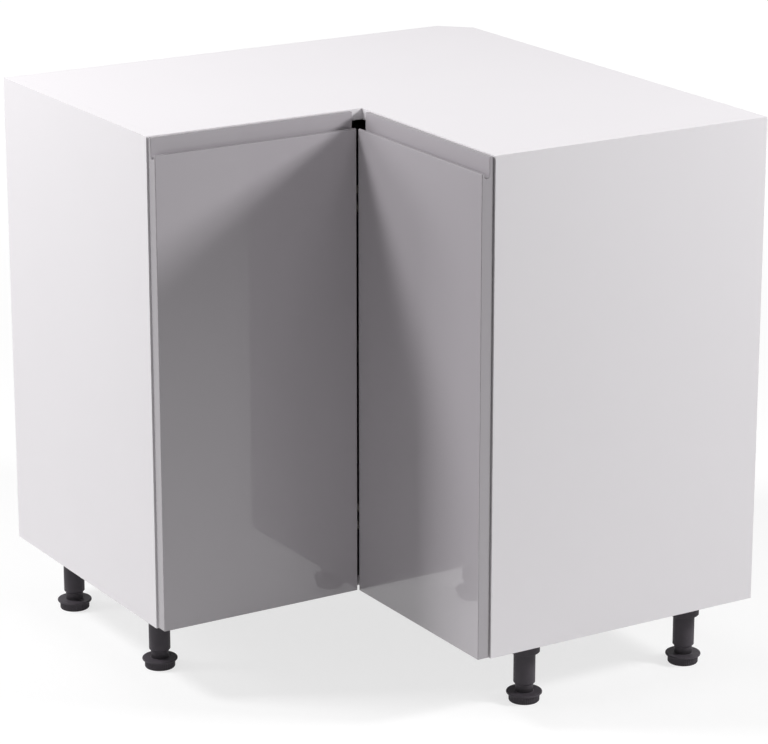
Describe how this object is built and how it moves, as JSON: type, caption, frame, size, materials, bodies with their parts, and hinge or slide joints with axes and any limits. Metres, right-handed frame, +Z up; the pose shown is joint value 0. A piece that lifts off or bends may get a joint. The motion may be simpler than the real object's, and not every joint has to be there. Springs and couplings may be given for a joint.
{
  "type": "corner base cabinet",
  "caption": "L-shaped corner base kitchen cabinet with folding gloss doors, finger rails, inner shelf and screw-adjustable legs.",
  "frame": {"origin": "centre of the square footprint, on the floor under the feet", "axes": "+Z up; the back corner is at +X +Y; the left wing's front faces -Y and the right wing's front faces -X"},
  "size_m": [0.8, 0.8, 0.82],
  "materials": {
    "white_board": "white faced board, satin",
    "back_board": "white faced thin board",
    "white_edging": "white edging strip",
    "door_gloss": "grey high gloss foil on fibreboard",
    "leg_plastic": "black moulded plastic",
    "nickel_steel": "nickel plated",
    "screw_steel": "bright zinc plated",
    "zinc": "cast zinc",
    "beech": "turned beech",
    "soft_pad": "soft clear pad"
  },
  "bodies": {
    "carcase": {"back_corner_leg_socket": "leg_plastic", "back_corner_leg_tube": "leg_plastic", "back_panel_screws": "screw_steel", "bottom_panel": "white_board", "cam_dowels": "screw_steel", "cam_locks": "zinc", "carcase_edge_bands": "white_edging", "corner_back_panel": "back_board", "hinge_plate_screws": "screw_steel", "left_back_panel": "back_board", "left_front_leg_socket": "leg_plastic", "left_front_leg_tube": "leg_plastic", "left_rear_leg_socket": "leg_plastic", "left_rear_leg_tube": "leg_plastic", "left_side_panel": "white_board", "leg_bolts": "screw_steel", "lower_hinge_arm": "nickel_steel", "lower_hinge_plate": "nickel_steel", "right_back_panel": "back_board", "right_front_leg_socket": "leg_plastic", "right_front_leg_tube": "leg_plastic", "right_rear_leg_socket": "leg_plastic", "right_rear_leg_tube": "leg_plastic", "right_side_panel": "white_board", "shelf": "white_board", "shelf_edge_bands": "white_edging", "shelf_pins": "nickel_steel", "top_panel": "white_board", "upper_hinge_arm": "nickel_steel", "upper_hinge_plate": "nickel_steel", "wood_dowels": "beech"},
    "hinge_links": {"lower_hinge_link": "nickel_steel", "upper_hinge_link": "nickel_steel", "hinge_arm_pins": "nickel_steel"},
    "right_door": {"right_door": "door_gloss", "right_door_bumpers": "soft_pad", "lower_hinge_cup": "nickel_steel", "upper_hinge_cup": "nickel_steel", "hinge_cup_pins": "nickel_steel", "hinge_cup_screws": "screw_steel", "lower_fold_leaf_right": "nickel_steel", "upper_fold_leaf_right": "nickel_steel", "fold_screws_right": "screw_steel", "fold_hinge_pins": "nickel_steel"},
    "left_door": {"left_door": "door_gloss", "left_door_bumpers": "soft_pad", "lower_fold_leaf_left": "nickel_steel", "upper_fold_leaf_left": "nickel_steel", "fold_screws_left": "screw_steel"},
    "left_front_foot": {"left_front_leg_foot": "leg_plastic"},
    "left_rear_foot": {"left_rear_leg_foot": "leg_plastic"},
    "back_corner_foot": {"back_corner_leg_foot": "leg_plastic"},
    "right_rear_foot": {"right_rear_leg_foot": "leg_plastic"},
    "right_front_foot": {"right_front_leg_foot": "leg_plastic"}
  },
  "joints": [
    {"name": "link_swing", "type": "hinge", "parent": "carcase", "child": "hinge_links", "pos_m": [-0.064, -0.3695, 0.45], "axis": [0, 0, -1], "range_deg": [0, 55]},
    {"name": "door_swing", "type": "hinge", "parent": "hinge_links", "child": "right_door", "pos_m": [-0.0576, -0.386, 0.45], "axis": [0, 0, 1], "range_deg": [0, 165]},
    {"name": "door_fold", "type": "hinge", "parent": "right_door", "child": "left_door", "pos_m": [-0.066, -0.066, 0.45], "axis": [0, 0, -1], "range_deg": [0, 60]},
    {"name": "left_front_foot_screw", "type": "slide", "parent": "carcase", "child": "left_front_foot", "axis": [0, 0, 1], "range_m": [-0.02, 0.01]},
    {"name": "left_rear_foot_screw", "type": "slide", "parent": "carcase", "child": "left_rear_foot", "axis": [0, 0, 1], "range_m": [-0.02, 0.01]},
    {"name": "back_corner_foot_screw", "type": "slide", "parent": "carcase", "child": "back_corner_foot", "axis": [0, 0, 1], "range_m": [-0.02, 0.01]},
    {"name": "right_rear_foot_screw", "type": "slide", "parent": "carcase", "child": "right_rear_foot", "axis": [0, 0, 1], "range_m": [-0.02, 0.01]},
    {"name": "right_front_foot_screw", "type": "slide", "parent": "carcase", "child": "right_front_foot", "axis": [0, 0, 1], "range_m": [-0.02, 0.01]}
  ],
  "couplings": [
    {"joint": "link_swing", "follows": "door_swing", "ratio": 0.33333},
    {"joint": "door_fold", "follows": "door_swing", "ratio": 0.36364}
  ]
}
